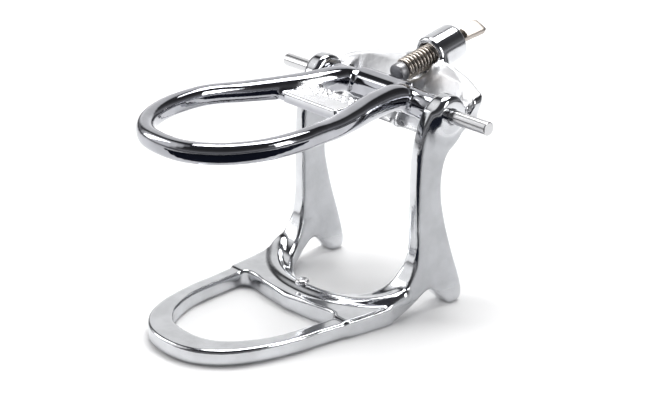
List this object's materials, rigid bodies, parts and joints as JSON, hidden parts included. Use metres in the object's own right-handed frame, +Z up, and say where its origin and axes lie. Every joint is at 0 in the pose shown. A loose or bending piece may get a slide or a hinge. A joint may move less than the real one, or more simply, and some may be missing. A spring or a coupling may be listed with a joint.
{
  "type": "dental articulator",
  "caption": "Plain-line dental articulator: lower frame with open base loop, hinged upper ring bow, and a spring-loaded closing screw with thumb blade behind the hinge.",
  "frame": {"origin": "middle of the footprint, on the bench under the base", "axes": "+X to the right seen from the rear, along the hinge shaft; +Y rearwards from the ring to the thumb blade; +Z up"},
  "size_m": [0.1076, 0.155, 0.0924],
  "materials": {
    "frame_casting": "polished and satin chrome plate",
    "stud_steel": "polished",
    "shaft_steel": "bright drawn steel",
    "bow_casting": "mirror chrome plate",
    "screw_nickel": "nickel plate",
    "button_steel": "turned steel",
    "spring_steel": "drawn spring wire"
  },
  "bodies": {
    "lower_frame": {"lower_frame": "frame_casting", "midline_index_stud": "stud_steel", "hinge_shaft": "shaft_steel", "tension_spring": "spring_steel"},
    "upper_bow": {"upper_bow": "bow_casting"},
    "stop_button": {"stop_button": "button_steel"},
    "adjusting_screw": {"adjusting_screw": "screw_nickel"}
  },
  "joints": [
    {"name": "bow_hinge", "type": "hinge", "parent": "lower_frame", "child": "upper_bow", "pos_m": [0, 0.0262, 0.0734], "axis": [-1, 0, 0], "range_deg": [0, 100]},
    {"name": "screw_travel", "type": "slide", "parent": "lower_frame", "child": "stop_button", "axis": [0, 0.9744, 0.225], "range_m": [0, 0.0032], "deforming": ["tension_spring"]},
    {"name": "screw_turn", "type": "hinge", "parent": "stop_button", "child": "adjusting_screw", "pos_m": [0, 0.0493, 0.08263], "axis": [0, 0.9744, 0.225], "range_deg": [0, 1440]}
  ],
  "couplings": [
    {"joint": "screw_turn", "follows": "screw_travel", "rad_per_m": 7853.9}
  ]
}
